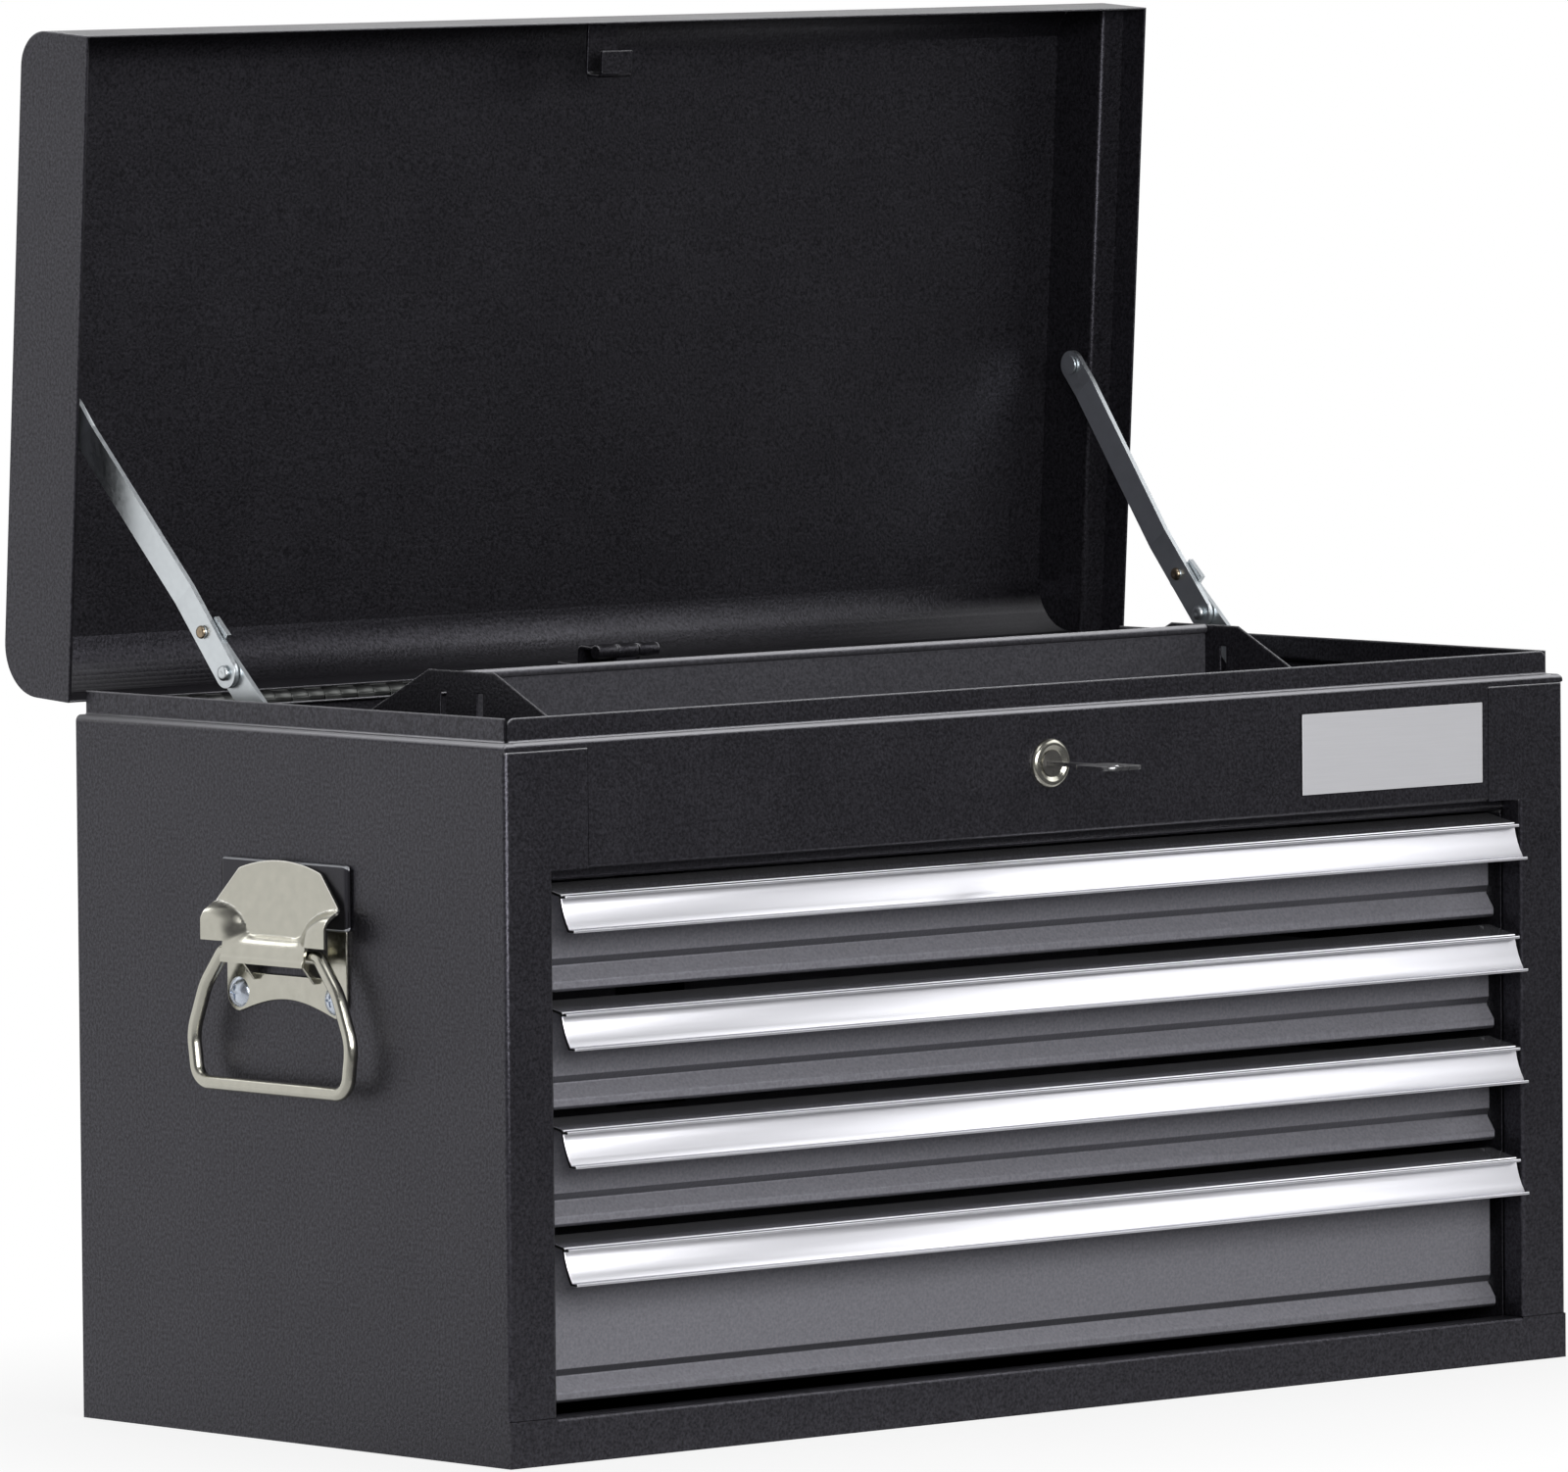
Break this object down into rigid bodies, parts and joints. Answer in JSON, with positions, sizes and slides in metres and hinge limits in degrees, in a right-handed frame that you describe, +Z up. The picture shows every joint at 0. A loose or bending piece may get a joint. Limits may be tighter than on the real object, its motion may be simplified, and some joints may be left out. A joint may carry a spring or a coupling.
{
  "type": "top tool chest",
  "caption": "Sheet-steel top tool chest with a hinged lid on folding stays, a lift-out tray, drawers on slides with full-width pulls, a cam lock and bail handles.",
  "frame": {"origin": "middle of the bottom face that the chest stands on", "axes": "+X to the right along the drawer fronts, -Y towards the user, +Z up"},
  "size_m": [0.6928, 0.4079, 0.6411],
  "materials": {
    "body_paint": "semi-gloss powder coat",
    "drawer_paint": "powder coat",
    "inner_paint": "powder coat",
    "handle_aluminium": "satin anodised",
    "nickel": "nickel plate",
    "zinc": "zinc plate",
    "plain_steel": "galvanised",
    "blue_zinc": "blue zinc plate",
    "label": "brushed",
    "brass": "polished"
  },
  "bodies": {
    "cabinet": {"left_side_panel": "body_paint", "right_side_panel": "body_paint", "front_apron": "body_paint", "back_panel": "body_paint", "bottom_panel": "body_paint", "bottom_rail": "body_paint", "compartment_floor": "inner_paint", "bay_walls": "inner_paint", "label_plate": "label", "stay_brackets": "zinc", "cabinet_slides": "plain_steel", "hinge_body_leaf": "zinc", "hinge_pin": "zinc", "lock_housing": "nickel", "lock_nut": "nickel", "grip_backings": "inner_paint", "grip_left_plate": "nickel", "grip_right_plate": "nickel", "grip_screws": "blue_zinc"},
    "lid": {"lid_shell": "body_paint", "lid_left_end": "body_paint", "lid_right_end": "body_paint", "lid_channels": "inner_paint", "lid_catch": "inner_paint", "lid_lug": "zinc", "lid_stay_studs": "zinc", "hinge_lid_leaf": "zinc"},
    "stay_left_upper": {"stay_left_upper_bar": "zinc"},
    "stay_left_lower": {"stay_left_lower_bar": "zinc"},
    "stay_right_upper": {"stay_right_upper_bar": "zinc"},
    "stay_right_lower": {"stay_right_lower_bar": "zinc"},
    "drawer_lock": {"lock_bar": "inner_paint"},
    "lock": {"lock_plug": "nickel", "lock_key": "nickel", "lock_cam": "zinc"},
    "left_bail": {"grip_left_bail": "nickel"},
    "right_bail": {"grip_right_bail": "nickel"},
    "tray": {"tray_pan": "inner_paint", "tray_ends": "inner_paint", "tray_divider": "inner_paint"},
    "drawer_1": {"drawer_1_box": "drawer_paint", "drawer_1_front": "drawer_paint", "drawer_1_handle": "handle_aluminium", "drawer_1_rails": "plain_steel"},
    "slides_1": {"drawer_1_middle_slides": "plain_steel"},
    "drawer_2": {"drawer_2_box": "drawer_paint", "drawer_2_front": "drawer_paint", "drawer_2_handle": "handle_aluminium", "drawer_2_rails": "plain_steel"},
    "slides_2": {"drawer_2_middle_slides": "plain_steel"},
    "drawer_3": {"drawer_3_box": "drawer_paint", "drawer_3_front": "drawer_paint", "drawer_3_handle": "handle_aluminium", "drawer_3_rails": "plain_steel"},
    "slides_3": {"drawer_3_middle_slides": "plain_steel"},
    "drawer_4": {"drawer_4_box": "drawer_paint", "drawer_4_front": "drawer_paint", "drawer_4_handle": "handle_aluminium", "drawer_4_rails": "plain_steel"},
    "slides_4": {"drawer_4_middle_slides": "plain_steel"}
  },
  "joints": [
    {"name": "lid_hinge", "type": "hinge", "parent": "cabinet", "child": "lid", "pos_m": [0, 0.1565, 0.3273], "axis": [-1, 0, 0], "range_deg": [-86.4, 0]},
    {"name": "stay_left_upper_pin", "type": "hinge", "parent": "lid", "child": "stay_left_upper", "pos_m": [-0.31475, 0.1705, 0.46465], "axis": [-1, 0, 0], "range_deg": [-1, 111.9]},
    {"name": "stay_right_upper_pin", "type": "hinge", "parent": "lid", "child": "stay_right_upper", "pos_m": [0.31175, 0.1705, 0.46465], "axis": [-1, 0, 0], "range_deg": [-1, 111.9]},
    {"name": "stay_left_lower_pin", "type": "hinge", "parent": "cabinet", "child": "stay_left_lower", "pos_m": [-0.30375, -0.00996, 0.27253], "axis": [-1, 0, 0], "range_deg": [-131.6, 1]},
    {"name": "stay_right_lower_pin", "type": "hinge", "parent": "cabinet", "child": "stay_right_lower", "pos_m": [0.30675, -0.00996, 0.27253], "axis": [-1, 0, 0], "range_deg": [-131.6, 1]},
    {"name": "lock_bar_pin", "type": "hinge", "parent": "lid", "child": "drawer_lock", "pos_m": [0, 0.146, 0.3404], "axis": [-1, 0, 0], "range_deg": [-1, 87.4]},
    {"name": "drawer_1_slide", "type": "slide", "parent": "cabinet", "child": "drawer_1", "axis": [0, -1, 0], "range_m": [0, 0.25]},
    {"name": "drawer_2_slide", "type": "slide", "parent": "cabinet", "child": "drawer_2", "axis": [0, -1, 0], "range_m": [0, 0.25]},
    {"name": "drawer_3_slide", "type": "slide", "parent": "cabinet", "child": "drawer_3", "axis": [0, -1, 0], "range_m": [0, 0.25]},
    {"name": "drawer_4_slide", "type": "slide", "parent": "cabinet", "child": "drawer_4", "axis": [0, -1, 0], "range_m": [0, 0.25]},
    {"name": "slides_1_run", "type": "slide", "parent": "cabinet", "child": "slides_1", "axis": [0, -1, 0], "range_m": [0, 0.126]},
    {"name": "slides_2_run", "type": "slide", "parent": "cabinet", "child": "slides_2", "axis": [0, -1, 0], "range_m": [0, 0.126]},
    {"name": "slides_3_run", "type": "slide", "parent": "cabinet", "child": "slides_3", "axis": [0, -1, 0], "range_m": [0, 0.126]},
    {"name": "slides_4_run", "type": "slide", "parent": "cabinet", "child": "slides_4", "axis": [0, -1, 0], "range_m": [0, 0.126]},
    {"name": "lock_turn", "type": "hinge", "parent": "cabinet", "child": "lock", "pos_m": [0, -0.1525, 0.3005], "axis": [0, -1, 0], "range_deg": [0, 90]},
    {"name": "left_bail_pivot", "type": "hinge", "parent": "cabinet", "child": "left_bail", "pos_m": [-0.3404, 0, 0.2242], "axis": [0, 1, 0], "range_deg": [0, 90]},
    {"name": "right_bail_pivot", "type": "hinge", "parent": "cabinet", "child": "right_bail", "pos_m": [0.3404, 0, 0.2242], "axis": [0, -1, 0], "range_deg": [0, 90]},
    {"name": "tray_lift", "type": "slide", "parent": "cabinet", "child": "tray", "axis": [0, 0, 1], "range_m": [0, 0.15]}
  ],
  "couplings": [
    {"joint": "stay_left_upper_pin", "follows": "lid_hinge", "ratio": -1.2836},
    {"joint": "stay_right_upper_pin", "follows": "lid_hinge", "ratio": -1.2836},
    {"joint": "stay_left_lower_pin", "follows": "lid_hinge", "ratio": 1.5114},
    {"joint": "stay_right_lower_pin", "follows": "lid_hinge", "ratio": 1.5114},
    {"joint": "lock_bar_pin", "follows": "lid_hinge", "ratio": -1},
    {"joint": "slides_1_run", "follows": "drawer_1_slide", "ratio": 0.5},
    {"joint": "slides_2_run", "follows": "drawer_2_slide", "ratio": 0.5},
    {"joint": "slides_3_run", "follows": "drawer_3_slide", "ratio": 0.5},
    {"joint": "slides_4_run", "follows": "drawer_4_slide", "ratio": 0.5}
  ]
}
